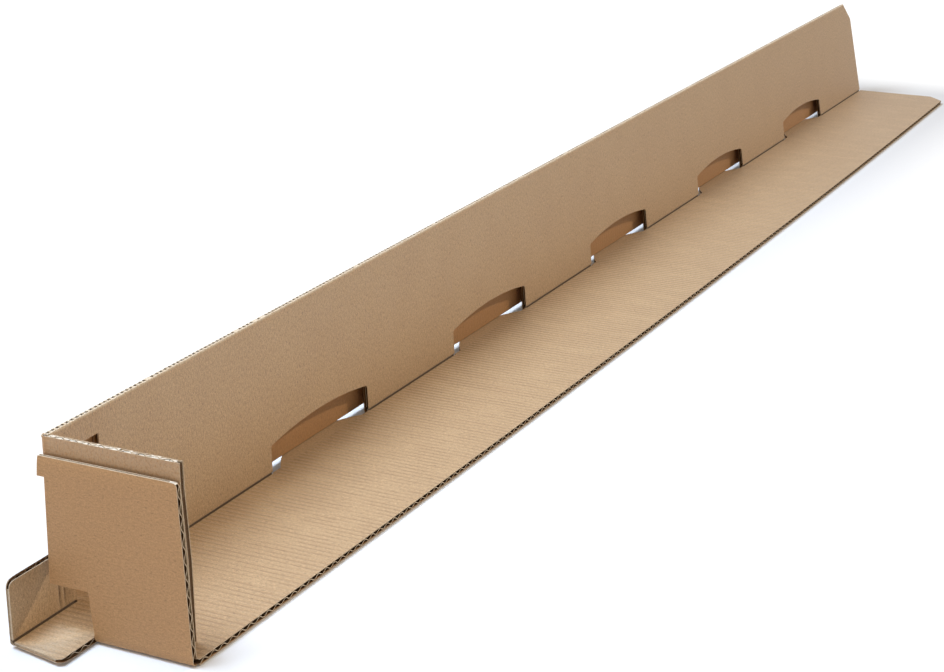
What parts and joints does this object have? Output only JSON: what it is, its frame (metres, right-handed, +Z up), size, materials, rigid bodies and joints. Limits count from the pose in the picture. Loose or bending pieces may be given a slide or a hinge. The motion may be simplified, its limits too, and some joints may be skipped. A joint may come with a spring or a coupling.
{
  "type": "pallet edge protector",
  "caption": "Folded corrugated-board angle with a rolled double wall, arched foot openings, an end cap and a tongue, which guards the lower edge of a pallet load.",
  "frame": {"origin": "middle of the floor panel's underside, halfway along the length and halfway from the front of the wall to the floor's free edge", "axes": "+X from the wall across the floor to its free edge, +Y along the length from the end cap to the free end, +Z up"},
  "size_m": [0.0999, 1.2235, 0.085],
  "materials": {
    "kraft_board": "matt brown kraft liner on single-wall corrugated board, with open flutes at its cut edges"
  },
  "bodies": {
    "root": {"edge_protector": "kraft_board"}
  },
  "joints": []
}
